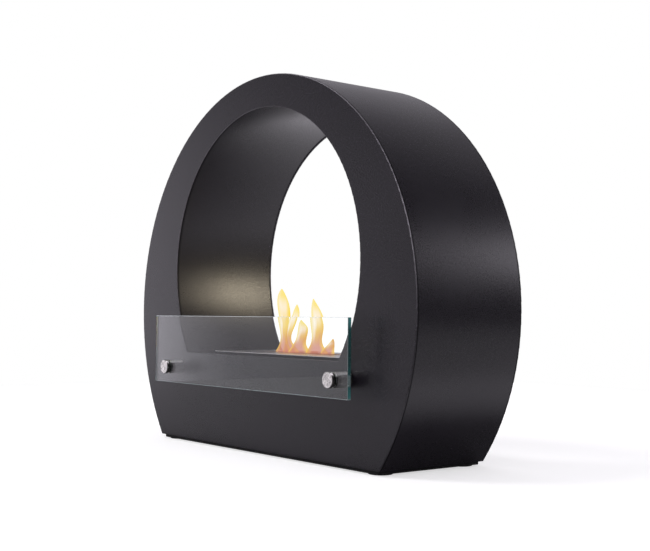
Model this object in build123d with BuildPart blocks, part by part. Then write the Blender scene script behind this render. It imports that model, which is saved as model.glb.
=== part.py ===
from build123d import *
from math import radians, sqrt, tan
import os

# Bioethanol fireplace: a ring of sheet steel, cut flat below and open from front to back, with a burner
# hanging in its hearth and a glass screen on two stand-offs in front.
# Millimetres. X runs along the width, Y from the front to the back, Z up. The origin is on the floor,
# under the middle of the whole object's outline.

os.makedirs("parts", exist_ok=True)

# ---------------------------------------------------------------- sizes: body

outer_radius = 300.0  # round outside of the body
outer_centre_rise = 180.5  # its centre, above the body's lower edge
ring_width = 96.0  # outer radius less the radius of the round opening through the body
opening_lift = 55.0  # the opening's centre, above the centre of the outside
hearth_line_rise = 119.5  # flat lower edge of the opening, above the body's lower edge
body_depth = 165.5  # over both panels
sheet_thickness = 1.5
panel_edge_round = 1.0
shell_joint = 0.3  # shadow line between the shell and each panel
liner_setback = 1.5  # how far the liner stands back from the panels' inner edge
hearth_setback = 1.5  # how far the hearth lies below the panels' flat edge
lower_flange_width = 14.0  # turned-in edges that the base plate is screwed to
flange_gap = 18.0  # along the lower edge, between a panel's flange and the shell's
hearth_flange_height = 12.0
hearth_flange_length = 300.0
hearth_plate_margin = 6.0  # hearth plate beyond the liner's foot

# ---------------------------------------------------------------- sizes: welded tabs inside the body

tab_width = 20.0
tab_leg = 12.0
shell_tab_count = 7  # at each panel
liner_tab_count = 6
shell_tab_dip = 20.0  # degrees that the end tabs lie below the level of the circle's centre
liner_tab_dip = 5.0
weld_gap = 0.1  # between a flat tab and the curved sheet that it is welded to

# ---------------------------------------------------------------- sizes: base

base_thickness = 4.0
base_inset = 3.5
base_corner_radius = 3.0
pad_radius = 14.0
pad_thickness = 1.5
pad_edge = 0.3
pad_margin = 2.0  # base plate left around a pad
base_screw_pitch = 150.0

# ---------------------------------------------------------------- sizes: base screws and nuts

base_screw_radius = 2.0
base_screw_head_radius = 4.0
base_screw_head_sink = 0.15  # head below the base plate's face
base_screw_end = 1.0  # thread past the nut
base_nut_width = 7.0  # across flats
base_nut_height = 3.2
base_socket_width = 2.5  # across flats
countersink_angle = 90.0

# ---------------------------------------------------------------- sizes: glass screen and its stand-offs

glass_thickness = 5.0
glass_height = 92.0
glass_side_margin = 31.0  # from a stand-off's axis to the glass's end
glass_lower_margin = 21.0  # from a stand-off's axis to the glass's lower edge
glass_hole_radius = 5.0
glass_edge_chamfer = 0.4
standoff_spacing = 368.0
standoff_drop = 20.0  # axis below the hearth line
standoff_radius = 9.5
standoff_chamfer = 0.4
barrel_length = 20.0
cap_thickness = 4.0
stud_radius = 3.0
stud_engagement = 9.0  # stud inside the barrel
stud_bore_end = 1.0  # bore past the stud's tip
glass_washer_radius = 8.5
glass_washer_thickness = 0.5

# ---------------------------------------------------------------- sizes: screws that hold the barrels

barrel_screw_radius = 2.5
barrel_screw_engagement = 6.0  # screw inside the barrel
barrel_screw_head_radius = 4.75
barrel_screw_head_height = 2.75
barrel_socket_width = 3.0  # across flats
lock_washer_radius = 4.6
lock_washer_thickness = 1.2
lock_washer_slit = 1.0

# ---------------------------------------------------------------- sizes: fastener details

hole_clearance = 0.25  # round a screw's shank, on the radius
thread_clearance = 0.1  # between a thread and its bore, on the radius
sleeve_clearance = 0.1
socket_depth = 1.4

# ---------------------------------------------------------------- sizes: burner

burner_side_margin = 28.6  # hearth left free at each end of the burner
rim_end_lip = 15.0  # rim beyond the tank, at each end
rim_side_lip = 6.5  # rim beyond the tank, in front and behind
rim_height = 4.5  # top of the burner above the hearth plate
rim_corner_radius = 3.0
rim_edge_round = 0.8
burner_sheet = 1.2
tank_height = 55.0
tank_wall = 1.0
tank_corner_radius = 8.0
cutout_clearance = 1.0  # round the tank, in the hearth plate
fibre_height = 34.0
fibre_clearance = 1.0
retainer_thickness = 1.0
retainer_clearance = 1.5
retainer_hole_radius = 2.5
retainer_hole_pitch = 10.0
retainer_hole_columns = 13
retainer_hole_rows = 3

# ---------------------------------------------------------------- sizes: fire slot and snuffer plate

slot_length = 140.0
slot_depth = 28.0
slot_corner_radius = 3.0
snuffer_thickness = 1.2
snuffer_side_lap = 4.0  # snuffer plate past each end of the slot
snuffer_rear_lap = 3.0  # past the slot's rear edge, closed
snuffer_front_lap = 6.0  # past the slot's front edge, closed
grip_width = 14.0  # upturned grip that the operating hook pulls
grip_height = 2.5  # above the burner's top
grip_inset = 2.6  # from the snuffer plate's front edge
grip_clearance = 0.4
sliding_clearance = 0.3
rail_ledge = 3.0  # under the snuffer plate's end
rail_end_gap = 1.2  # from the rails' ends to the tank's wall

# ---------------------------------------------------------------- worked out: levels

body_bottom_z = pad_thickness + base_thickness
outer_centre_z = body_bottom_z + outer_centre_rise
opening_centre_z = outer_centre_z + opening_lift
hearth_line_z = body_bottom_z + hearth_line_rise
hearth_top_z = hearth_line_z - hearth_setback
standoff_z = hearth_line_z - standoff_drop

# ---------------------------------------------------------------- worked out: front to back

screen_reach = barrel_length + 2 * glass_washer_thickness + glass_thickness + cap_thickness
front_y = screen_reach - (screen_reach + body_depth) / 2
rear_y = front_y + body_depth
middle_y = (front_y + rear_y) / 2
inside_front_y = front_y + sheet_thickness
inside_rear_y = rear_y - sheet_thickness

# ---------------------------------------------------------------- worked out: widths

shell_inner_radius = outer_radius - sheet_thickness
bottom_half_width = sqrt(outer_radius**2 - outer_centre_rise**2)
shell_foot_half_width = sqrt(shell_inner_radius**2 - outer_centre_rise**2)
opening_radius = outer_radius - ring_width
liner_radius = opening_radius + liner_setback
liner_outer_radius = liner_radius + sheet_thickness
hearth_drop = opening_centre_z - hearth_top_z
liner_foot_half_width = sqrt(liner_outer_radius**2 - hearth_drop**2)
hearth_length = 2 * (liner_foot_half_width + hearth_plate_margin)
base_length = 2 * (bottom_half_width - base_inset)
base_depth = body_depth - 2 * base_inset
pad_spacing_x = base_length - 2 * (pad_radius + pad_margin)
pad_spacing_y = base_depth - 2 * (pad_radius + pad_margin)

# ---------------------------------------------------------------- worked out: fixings

shell_screw_x = shell_foot_half_width - lower_flange_width / 2
shell_flange_width = lower_flange_width + sheet_thickness
panel_flange_length = 2 * (shell_screw_x - shell_flange_width / 2 - flange_gap)
panel_screw_offset = body_depth / 2 - sheet_thickness - lower_flange_width / 2
front_screw_points = [(column * base_screw_pitch, middle_y - panel_screw_offset) for column in (-1, 0, 1)]
rear_screw_points = [(column * base_screw_pitch, middle_y + panel_screw_offset) for column in (-1, 0, 1)]
shell_screw_points = [(side * shell_screw_x, middle_y) for side in (-1, 1)]
base_screw_points = front_screw_points + rear_screw_points + shell_screw_points
standoff_points = [(side * standoff_spacing / 2, standoff_z) for side in (-1, 1)]

# ---------------------------------------------------------------- worked out: burner

burner_top_z = hearth_top_z + rim_height
burner_underside_z = burner_top_z - burner_sheet
tank_bottom_z = burner_underside_z - tank_height
fibre_top_z = tank_bottom_z + tank_wall + fibre_height
snuffer_top_z = burner_underside_z - sliding_clearance
snuffer_bottom_z = snuffer_top_z - snuffer_thickness
ledge_top_z = snuffer_bottom_z - sliding_clearance
snuffer_length = slot_length + 2 * snuffer_side_lap
snuffer_depth = slot_depth + snuffer_front_lap + snuffer_rear_lap
slot_front_y = middle_y - slot_depth / 2
slot_rear_y = middle_y + slot_depth / 2
closed_front_y = slot_front_y - snuffer_front_lap
open_front_y = slot_rear_y - grip_clearance - burner_sheet - grip_inset
snuffer_travel = open_front_y - closed_front_y
rail_web_x = snuffer_length / 2 + sliding_clearance
rail_front_y = closed_front_y - sliding_clearance - burner_sheet
rail_rear_y = open_front_y + snuffer_depth
hearth_half_width = sqrt(liner_radius**2 - hearth_drop**2)
rim_length = 2 * (hearth_half_width - burner_side_margin)
tank_length = rim_length - 2 * rim_end_lip
tank_depth = 2 * (rail_rear_y + rail_end_gap + tank_wall - middle_y)
rim_depth = tank_depth + 2 * rim_side_lip


# ---------------------------------------------------------------- shared ways of drawing


def section(y):
    """The upright plane at depth y: its x runs along the width and its y up. Its normal faces the front."""
    return Plane.XZ.offset(-y)


def flat_footed_circle(radius, centre_z, foot_z, mode=Mode.ADD):
    """In the sketch being drawn, a disc that is cut off flat at foot_z."""
    half_width = sqrt(radius**2 - (centre_z - foot_z) ** 2)
    with BuildLine() as outline:
        ThreePointArc((half_width, foot_z), (0, centre_z + radius), (-half_width, foot_z))
        Line((-half_width, foot_z), (half_width, foot_z))
    make_face(outline.edges(), mode=mode)


def save(piece, name):
    """Label a finished piece and write it."""
    piece.part.label = name
    export_step(piece.part, f"parts/{name}.step")


# ---------------------------------------------------------------- body: front and rear panels


def ring_panel(outer_y, outward, flange_points, face_points=()):
    """Flat ring sheet with rounded outside edges and a turned-in lower flange, both drilled for screws."""
    with BuildPart() as panel:
        with BuildSketch(section(outer_y)):
            flat_footed_circle(outer_radius, outer_centre_z, body_bottom_z)
            flat_footed_circle(opening_radius, opening_centre_z, hearth_line_z, Mode.SUBTRACT)
        extrude(amount=sheet_thickness * outward)
        shown_face = panel.faces().sort_by(Axis.Y)[0 if outward < 0 else -1]
        fillet(shown_face.edges(), panel_edge_round)
        flange_y = outer_y - outward * (sheet_thickness + lower_flange_width / 2)
        with BuildSketch(Plane.XY.offset(body_bottom_z)):
            with Locations((0, flange_y)):
                Rectangle(panel_flange_length, lower_flange_width)
            with Locations(flange_points):
                Circle(base_screw_radius + hole_clearance, mode=Mode.SUBTRACT)
        extrude(amount=sheet_thickness)
        if face_points:
            with BuildSketch(section(outer_y)):
                with Locations(face_points):
                    Circle(barrel_screw_radius + hole_clearance)
            extrude(amount=sheet_thickness * outward, mode=Mode.SUBTRACT)
    return panel


save(ring_panel(front_y, -1, front_screw_points, standoff_points), "front_panel")
save(ring_panel(rear_y, 1, rear_screw_points), "rear_panel")

# ---------------------------------------------------------------- body: outer shell

with BuildPart() as outer_shell:
    with BuildSketch(section(inside_front_y + shell_joint)):
        flat_footed_circle(outer_radius, outer_centre_z, body_bottom_z)
        flat_footed_circle(shell_inner_radius, outer_centre_z, body_bottom_z, Mode.SUBTRACT)
        with Locations([(side * shell_screw_x, body_bottom_z) for side in (-1, 1)]):
            Rectangle(shell_flange_width, sheet_thickness, align=(Align.CENTER, Align.MIN))
    extrude(amount=-(body_depth - 2 * sheet_thickness - 2 * shell_joint))
    with BuildSketch(Plane.XY.offset(body_bottom_z)):
        with Locations(shell_screw_points):
            Circle(base_screw_radius + hole_clearance)
    extrude(amount=sheet_thickness, mode=Mode.SUBTRACT)
save(outer_shell, "outer_shell")

# ---------------------------------------------------------------- body: inner liner and hearth plate

with BuildPart() as inner_liner:
    with BuildSketch(section(inside_front_y)):
        flat_footed_circle(liner_outer_radius, opening_centre_z, hearth_top_z)
        flat_footed_circle(liner_radius, opening_centre_z, hearth_top_z, Mode.SUBTRACT)
    extrude(amount=-(body_depth - 2 * sheet_thickness))
save(inner_liner, "inner_liner")

with BuildPart() as hearth_plate:
    with BuildSketch(Plane.XY.offset(hearth_top_z)):
        with Locations((0, middle_y)):
            Rectangle(hearth_length, body_depth - 2 * sheet_thickness)
            Rectangle(
                tank_length + 2 * cutout_clearance,
                tank_depth + 2 * cutout_clearance,
                mode=Mode.SUBTRACT,
            )
    extrude(amount=-sheet_thickness)
    flange_offset = body_depth / 2 - sheet_thickness - sheet_thickness / 2
    with BuildSketch(Plane.XY.offset(hearth_top_z)):
        with Locations((0, middle_y - flange_offset), (0, middle_y + flange_offset)):
            Rectangle(hearth_flange_length, sheet_thickness)
    extrude(amount=-hearth_flange_height)
save(hearth_plate, "hearth_plate")

# ---------------------------------------------------------------- body: welded tabs


def angle_tabs(panel_inner_y, inward, centre_z, count, dip, flat_radius, leg_side):
    """Angle tabs round one curved sheet: one leg on the panel, the other along the sheet.

    flat_radius is where the leg's flat face lies, and leg_side is -1 for a sheet outside the tabs.
    """
    tab_plane = Plane(origin=(0, panel_inner_y, centre_z), x_dir=(1, 0, 0), z_dir=(0, -1, 0))
    leg_align = (Align.MAX if leg_side < 0 else Align.MIN, Align.CENTER)
    with BuildPart() as tabs:
        for leg, length in ((tab_leg, sheet_thickness), (sheet_thickness, tab_leg)):
            with BuildSketch(tab_plane):
                with PolarLocations(flat_radius, count, -dip, 180 + 2 * dip, endpoint=True):
                    Rectangle(leg, tab_width, align=leg_align)
            extrude(amount=-inward * length)
    return tabs


shell_tab_radius = sqrt((shell_inner_radius - weld_gap) ** 2 - (tab_width / 2) ** 2)
liner_tab_radius = liner_outer_radius + weld_gap
shell_tabs = (outer_centre_z, shell_tab_count, shell_tab_dip, shell_tab_radius, -1)
liner_tabs = (opening_centre_z, liner_tab_count, liner_tab_dip, liner_tab_radius, 1)
for side, panel_inner_y, inward in (("front", inside_front_y, 1), ("rear", inside_rear_y, -1)):
    save(angle_tabs(panel_inner_y, inward, *shell_tabs), f"{side}_shell_tabs")
    save(angle_tabs(panel_inner_y, inward, *liner_tabs), f"{side}_liner_tabs")

# ---------------------------------------------------------------- base: plate and pads

with BuildPart() as base_plate:
    with BuildSketch(Plane.XY.offset(pad_thickness)):
        with Locations((0, middle_y)):
            RectangleRounded(base_length, base_depth, base_corner_radius)
    extrude(amount=base_thickness)
    with Locations([Location((x, y, pad_thickness), (180, 0, 0)) for x, y in base_screw_points]):
        CounterSinkHole(
            radius=base_screw_radius + hole_clearance,
            counter_sink_radius=base_screw_head_radius + hole_clearance,
            depth=base_thickness,
            counter_sink_angle=countersink_angle,
        )
save(base_plate, "base_plate")


def foot_pad(side_x, side_y):
    """Round pad under one corner of the base plate."""
    with BuildPart() as pad:
        with BuildSketch():
            with Locations((side_x * pad_spacing_x / 2, middle_y + side_y * pad_spacing_y / 2)):
                Circle(pad_radius)
        extrude(amount=pad_thickness)
        chamfer(pad.faces().sort_by(Axis.Z)[0].edges(), pad_edge)
    return pad


for depth_name, side_y in (("front", -1), ("rear", 1)):
    for width_name, side_x in (("left", -1), ("right", 1)):
        save(foot_pad(side_x, side_y), f"foot_{depth_name}_{width_name}")

# ---------------------------------------------------------------- base: screws and nuts

base_nut_z = body_bottom_z + sheet_thickness
base_screw_head_z = pad_thickness + base_screw_head_sink
base_screw_head_taper = tan(radians(countersink_angle / 2))
base_screw_head_height = (base_screw_head_radius - base_screw_radius) / base_screw_head_taper

with BuildPart() as base_screws:
    with Locations([(x, y, base_screw_head_z) for x, y in base_screw_points]):
        Cone(
            base_screw_head_radius,
            base_screw_radius,
            base_screw_head_height,
            align=(Align.CENTER, Align.CENTER, Align.MIN),
        )
        Cylinder(
            base_screw_radius,
            base_nut_z + base_nut_height + base_screw_end - base_screw_head_z,
            align=(Align.CENTER, Align.CENTER, Align.MIN),
        )
    with BuildSketch(Plane.XY.offset(base_screw_head_z)):
        with Locations(base_screw_points):
            RegularPolygon(base_socket_width / 2, 6, major_radius=False)
    extrude(amount=socket_depth, mode=Mode.SUBTRACT)
save(base_screws, "base_screws")

with BuildPart() as base_nuts:
    with BuildSketch(Plane.XY.offset(base_nut_z)):
        with Locations(base_screw_points):
            RegularPolygon(base_nut_width / 2, 6, major_radius=False)
            Circle(base_screw_radius + thread_clearance, mode=Mode.SUBTRACT)
    extrude(amount=base_nut_height)
save(base_nuts, "base_nuts")

# ---------------------------------------------------------------- screen: glass

barrel_front_y = front_y - barrel_length
glass_rear_y = barrel_front_y - glass_washer_thickness
glass_front_y = glass_rear_y - glass_thickness
cap_rear_y = glass_front_y - glass_washer_thickness
glass_width = standoff_spacing + 2 * glass_side_margin
glass_lower_z = standoff_z - glass_lower_margin

with BuildPart() as glass_panel:
    with BuildSketch(section(glass_rear_y)):
        with Locations((0, glass_lower_z)):
            Rectangle(glass_width, glass_height, align=(Align.CENTER, Align.MIN))
        with Locations(standoff_points):
            Circle(glass_hole_radius, mode=Mode.SUBTRACT)
    extrude(amount=glass_thickness)
    glass_faces = glass_panel.faces().sort_by(Axis.Y)
    chamfer(glass_faces[0].outer_wire().edges() + glass_faces[-1].outer_wire().edges(), glass_edge_chamfer)
save(glass_panel, "glass_panel")

# ---------------------------------------------------------------- screen: washers and sleeves

sleeve_inner_radius = stud_radius + sleeve_clearance
sleeve_outer_radius = glass_hole_radius - sleeve_clearance


def rings(front_face_y, outer, inner, thickness):
    """A ring on each stand-off's axis, standing forward from front_face_y."""
    with BuildPart() as pair:
        with BuildSketch(section(front_face_y)):
            with Locations(standoff_points):
                Circle(outer)
                Circle(inner, mode=Mode.SUBTRACT)
        extrude(amount=thickness)
    return pair


glass_rear_washers = rings(barrel_front_y, glass_washer_radius, sleeve_inner_radius, glass_washer_thickness)
save(glass_rear_washers, "glass_rear_washers")
glass_front_washers = rings(glass_front_y, glass_washer_radius, sleeve_inner_radius, glass_washer_thickness)
save(glass_front_washers, "glass_front_washers")
glass_hole_sleeves = rings(glass_rear_y, sleeve_outer_radius, sleeve_inner_radius, glass_thickness)
save(glass_hole_sleeves, "glass_hole_sleeves")

# ---------------------------------------------------------------- screen: stand-off barrels and caps

cap_front_y = cap_rear_y - cap_thickness
stud_length = 2 * glass_washer_thickness + glass_thickness + stud_engagement


def standoff_barrel(x):
    """Round spacer with a threaded bore from each end."""
    with BuildPart() as barrel:
        with BuildSketch(section(front_y)):
            with Locations((x, standoff_z)):
                Circle(standoff_radius)
        extrude(amount=barrel_length)
        ends = barrel.faces().filter_by(Axis.Y).edges()
        chamfer(ends, standoff_chamfer)
        with BuildSketch(section(barrel_front_y)):
            with Locations((x, standoff_z)):
                Circle(stud_radius + thread_clearance)
        extrude(amount=-(stud_engagement + stud_bore_end), mode=Mode.SUBTRACT)
        with BuildSketch(section(front_y)):
            with Locations((x, standoff_z)):
                Circle(barrel_screw_radius + thread_clearance)
        extrude(amount=barrel_screw_engagement + stud_bore_end, mode=Mode.SUBTRACT)
    return barrel


def standoff_cap(x):
    """Flat round cap with its threaded stud."""
    with BuildPart() as cap:
        with BuildSketch(section(cap_rear_y)):
            with Locations((x, standoff_z)):
                Circle(standoff_radius)
        extrude(amount=cap_thickness)
        chamfer(cap.faces().filter_by(Axis.Y).edges(), standoff_chamfer)
        with BuildSketch(section(cap_rear_y)):
            with Locations((x, standoff_z)):
                Circle(stud_radius)
        extrude(amount=-stud_length)
    return cap


for side_name, (standoff_x, _) in zip(("left", "right"), standoff_points):
    save(standoff_barrel(standoff_x), f"{side_name}_standoff_barrel")
    save(standoff_cap(standoff_x), f"{side_name}_standoff_cap")

# ---------------------------------------------------------------- screen: screws behind the front panel

barrel_screw_head_y = inside_front_y + lock_washer_thickness

with BuildPart() as standoff_lock_washers:
    with BuildSketch(section(barrel_screw_head_y)):
        with Locations(standoff_points):
            Circle(lock_washer_radius)
            Circle(barrel_screw_radius + hole_clearance, mode=Mode.SUBTRACT)
        with Locations([(x, z + lock_washer_radius) for x, z in standoff_points]):
            Rectangle(lock_washer_slit, 2 * lock_washer_radius, mode=Mode.SUBTRACT)
    extrude(amount=lock_washer_thickness)
save(standoff_lock_washers, "standoff_lock_washers")

with BuildPart() as standoff_screws:
    with BuildSketch(section(barrel_screw_head_y)):
        with Locations(standoff_points):
            Circle(barrel_screw_head_radius)
    extrude(amount=-barrel_screw_head_height)
    with BuildSketch(section(barrel_screw_head_y)):
        with Locations(standoff_points):
            Circle(barrel_screw_radius)
    extrude(amount=lock_washer_thickness + sheet_thickness + barrel_screw_engagement)
    with BuildSketch(section(barrel_screw_head_y + barrel_screw_head_height)):
        with Locations(standoff_points):
            RegularPolygon(barrel_socket_width / 2, 6, major_radius=False)
    extrude(amount=socket_depth, mode=Mode.SUBTRACT)
save(standoff_screws, "standoff_screws")

# ---------------------------------------------------------------- burner: top plate

grip_front_closed_y = closed_front_y + grip_inset
notch_front_y = grip_front_closed_y - grip_clearance

with BuildPart() as burner_top_plate:
    with BuildSketch(Plane.XY.offset(hearth_top_z)):
        with Locations((0, middle_y)):
            RectangleRounded(rim_length, rim_depth, rim_corner_radius)
    extrude(amount=rim_height)
    fillet(burner_top_plate.faces().sort_by(Axis.Z)[-1].edges(), rim_edge_round)
    with BuildSketch(Plane.XY.offset(hearth_top_z)):
        with Locations((0, middle_y)):
            RectangleRounded(
                rim_length - 2 * burner_sheet,
                rim_depth - 2 * burner_sheet,
                rim_corner_radius - burner_sheet,
            )
    extrude(amount=rim_height - burner_sheet, mode=Mode.SUBTRACT)
    with BuildSketch(Plane.XY.offset(burner_underside_z)):
        with Locations((0, middle_y)):
            RectangleRounded(slot_length, slot_depth, slot_corner_radius)
        with Locations((0, notch_front_y)):
            Rectangle(
                grip_width + 2 * grip_clearance,
                middle_y - notch_front_y,
                align=(Align.CENTER, Align.MIN),
            )
    extrude(amount=burner_sheet, mode=Mode.SUBTRACT)
save(burner_top_plate, "burner_top_plate")

# ---------------------------------------------------------------- burner: tank, fibre and its retainer

with BuildPart() as burner_tank:
    with BuildSketch(Plane.XY.offset(tank_bottom_z)):
        with Locations((0, middle_y)):
            RectangleRounded(tank_length, tank_depth, tank_corner_radius)
    extrude(amount=tank_height)
    with BuildSketch(Plane.XY.offset(tank_bottom_z + tank_wall)):
        with Locations((0, middle_y)):
            RectangleRounded(
                tank_length - 2 * tank_wall,
                tank_depth - 2 * tank_wall,
                tank_corner_radius - tank_wall,
            )
    extrude(amount=tank_height - tank_wall, mode=Mode.SUBTRACT)
save(burner_tank, "burner_tank")

with BuildPart() as fibre_block:
    with BuildSketch(Plane.XY.offset(tank_bottom_z + tank_wall)):
        with Locations((0, middle_y)):
            RectangleRounded(
                tank_length - 2 * (tank_wall + fibre_clearance),
                tank_depth - 2 * (tank_wall + fibre_clearance),
                tank_corner_radius - tank_wall,
            )
    extrude(amount=fibre_height)
save(fibre_block, "fibre_block")

with BuildPart() as fibre_retainer:
    with BuildSketch(Plane.XY.offset(fibre_top_z)):
        with Locations((0, middle_y)):
            RectangleRounded(
                tank_length - 2 * (tank_wall + retainer_clearance),
                tank_depth - 2 * (tank_wall + retainer_clearance),
                tank_corner_radius - tank_wall,
            )
            with GridLocations(
                retainer_hole_pitch,
                retainer_hole_pitch,
                retainer_hole_columns,
                retainer_hole_rows,
            ):
                Circle(retainer_hole_radius, mode=Mode.SUBTRACT)
    extrude(amount=retainer_thickness)
save(fibre_retainer, "fibre_retainer")

# ---------------------------------------------------------------- burner: snuffer plate and its rails

with BuildPart() as snuffer_plate:
    with BuildSketch(Plane.XY.offset(snuffer_bottom_z)):
        with Locations((0, open_front_y)):
            Rectangle(snuffer_length, snuffer_depth, align=(Align.CENTER, Align.MIN))
    extrude(amount=snuffer_thickness)
    with BuildSketch(Plane.XY.offset(snuffer_top_z)):
        with Locations((0, open_front_y + grip_inset)):
            Rectangle(grip_width, burner_sheet, align=(Align.CENTER, Align.MIN))
    extrude(amount=burner_top_z + grip_height - snuffer_top_z)
save(snuffer_plate, "snuffer_plate")


def snuffer_rail(side):
    """Rail under the top plate: a web beside the snuffer plate, a ledge under it and a stop in front."""
    outer_align = Align.MAX if side < 0 else Align.MIN
    rail_length = rail_rear_y - rail_front_y
    web_height = burner_underside_z - ledge_top_z
    ledge_edge_x = side * (snuffer_length / 2 - rail_ledge)
    with BuildPart() as rail:
        with BuildSketch(Plane.XY.offset(burner_underside_z)):
            with Locations((side * rail_web_x, rail_front_y)):
                Rectangle(burner_sheet, rail_length, align=(outer_align, Align.MIN))
            with Locations((ledge_edge_x, rail_front_y)):
                Rectangle(rail_web_x - abs(ledge_edge_x), burner_sheet, align=(outer_align, Align.MIN))
        extrude(amount=-web_height)
        with BuildSketch(Plane.XY.offset(ledge_top_z)):
            with Locations((ledge_edge_x, rail_front_y)):
                Rectangle(
                    rail_web_x + burner_sheet - abs(ledge_edge_x),
                    rail_length,
                    align=(outer_align, Align.MIN),
                )
        extrude(amount=-burner_sheet)
    return rail


for side_name, side in (("left", -1), ("right", 1)):
    save(snuffer_rail(side), f"{side_name}_snuffer_rail")
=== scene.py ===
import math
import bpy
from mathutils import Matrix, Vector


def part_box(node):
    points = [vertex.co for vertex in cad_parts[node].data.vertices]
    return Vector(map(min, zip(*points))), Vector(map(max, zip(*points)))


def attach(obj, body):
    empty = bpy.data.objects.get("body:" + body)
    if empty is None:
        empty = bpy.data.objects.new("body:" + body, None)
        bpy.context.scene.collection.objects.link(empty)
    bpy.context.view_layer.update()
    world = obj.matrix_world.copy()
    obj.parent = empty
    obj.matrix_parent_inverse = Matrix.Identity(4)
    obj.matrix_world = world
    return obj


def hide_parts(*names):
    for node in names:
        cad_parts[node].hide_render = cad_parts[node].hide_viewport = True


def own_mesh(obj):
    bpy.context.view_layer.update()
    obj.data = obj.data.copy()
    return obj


bl_info = {
    "name": "Bioethanol Fireplace",
    "version": (1, 0, 0),
    "blender": (4, 5, 0),
    "location": "3D View > Sidebar > Fireplace",
    "description": "Finishes the bioethanol fireplace, adds its fibre and flames, and sets up the studio",
    "category": "Object",
}

import bmesh
import bpy
from bpy.props import FloatProperty, FloatVectorProperty, IntProperty, PointerProperty
from mathutils import Matrix, Vector

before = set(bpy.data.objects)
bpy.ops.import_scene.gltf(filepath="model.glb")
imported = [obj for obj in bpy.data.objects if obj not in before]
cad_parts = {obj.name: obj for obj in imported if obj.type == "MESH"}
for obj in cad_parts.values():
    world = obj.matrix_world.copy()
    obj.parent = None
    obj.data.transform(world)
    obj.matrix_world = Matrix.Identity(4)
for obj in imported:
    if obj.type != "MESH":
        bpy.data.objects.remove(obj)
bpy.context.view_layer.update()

MM = 0.001

# Pieces of the frame, by finish
PANELS = ("front_panel", "rear_panel")
TABS = [f"{end}_{sheet}_tabs" for end in ("front", "rear") for sheet in ("shell", "liner")]
FEET = [f"foot_{end}_{side}" for end in ("front", "rear") for side in ("left", "right")]
STANDOFFS = {side: (f"{side}_standoff_cap", f"{side}_standoff_barrel") for side in ("left", "right")}
CLEAR_RINGS = ("glass_front_washers", "glass_rear_washers", "glass_hole_sleeves")
FASTENERS = ("base_screws", "base_nuts", "standoff_screws", "standoff_lock_washers")
RAILS = ("left_snuffer_rail", "right_snuffer_rail")

BODY_LOW, BODY_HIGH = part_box("outer_shell")
RIM_LOW, RIM_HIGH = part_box("burner_top_plate")
FIRE_TOP = RIM_HIGH.z
FIBRE_LOW, FIBRE_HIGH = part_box("fibre_block")


# ---- settings


def colour_of(name, coloured, *default, high=1):
    """A setting that holds the colour of something."""
    return FloatVectorProperty(
        name=name, description=f"Colour of {coloured}",
        subtype="COLOR", size=3, min=0, max=high, default=default,
    )


def share_of(name, description, default, low=0):
    """A setting that holds a share of one."""
    return FloatProperty(
        name=name, description=description, subtype="FACTOR", min=low, max=1, default=default
    )


def level_of(name, description, default):
    """A setting that holds a strength."""
    return FloatProperty(name=name, description=description, min=0, default=default)


def length_of(name, description, millimetres):
    """A setting that holds a length."""
    return FloatProperty(
        name=name, description=description, subtype="DISTANCE", unit="LENGTH", default=millimetres * MM
    )


def angle_of(name, description, degrees):
    """A setting that holds an angle."""
    return FloatProperty(
        name=name, description=description, subtype="ANGLE", unit="ROTATION", default=math.radians(degrees)
    )


class FireplaceCoatSettings(bpy.types.PropertyGroup):
    """Powder coat of the body, matt coat of the base and rubber of its pads."""

    colour: colour_of("Coat", "the powder coat", 0.0078, 0.0063, 0.0096)
    sheen_colour: colour_of("Lighter grain", "the coat where its grain stands up", 0.0135, 0.011, 0.0162)
    roughness: share_of("Roughness", "Middle roughness of the powder coat", 0.29)
    grain: length_of("Grain", "Width of one grain of the powder coat", 1.5)
    relief: length_of("Relief", "Height of the grain", 0.035)
    # Painted highlight along the panels' rounded edges
    edge_highlight: colour_of("Edge", "the coat round the edges of the panels", 0.13, 0.122, 0.135)
    # Painted shade in and beside the joints, over the dark joint lines
    joint_shade: colour_of("Primer", "the dark primer in the joints", 0.006, 0.006, 0.007)
    seam: length_of("Joint", "Length that the widths of the dark joints are worked out from", 4)
    base_colour: colour_of("Base", "the matt coat on the base plate", 0.012, 0.012, 0.013)
    rubber_colour: colour_of("Pads", "the rubber pads", 0.016, 0.016, 0.016)


class FireplaceGlassSettings(bpy.types.PropertyGroup):
    """Glass screen and its clear plastic rings."""

    tint: colour_of("Tint", "the glass along its length", 0.50, 0.90, 0.82)
    depth: level_of("Tint density", "How strongly the tint builds up for each metre of glass", 9.0)
    edge_colour: colour_of("Edge", "the glass at its edges", 0.055, 0.21, 0.20)
    bevel_colour: colour_of("Bevels", "the ground bevels along the edges", 0.60, 0.68, 0.68)
    # Painted light on the glass edge
    edge_light: colour_of("Edge light", "the lighter parts of the edge", 0.26, 0.36, 0.35)
    edge_clear: share_of("Edge clearness", "How much light an edge lets through", 0.45)
    bevel_clear: share_of("Bevel clearness", "How much light a bevel lets through", 0.2)
    edge_roughness: share_of("Ground edge", "Roughness of the ground edges", 0.22)
    plastic_colour: colour_of("Rings", "the clear plastic rings", 0.86, 0.88, 0.87)


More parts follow.
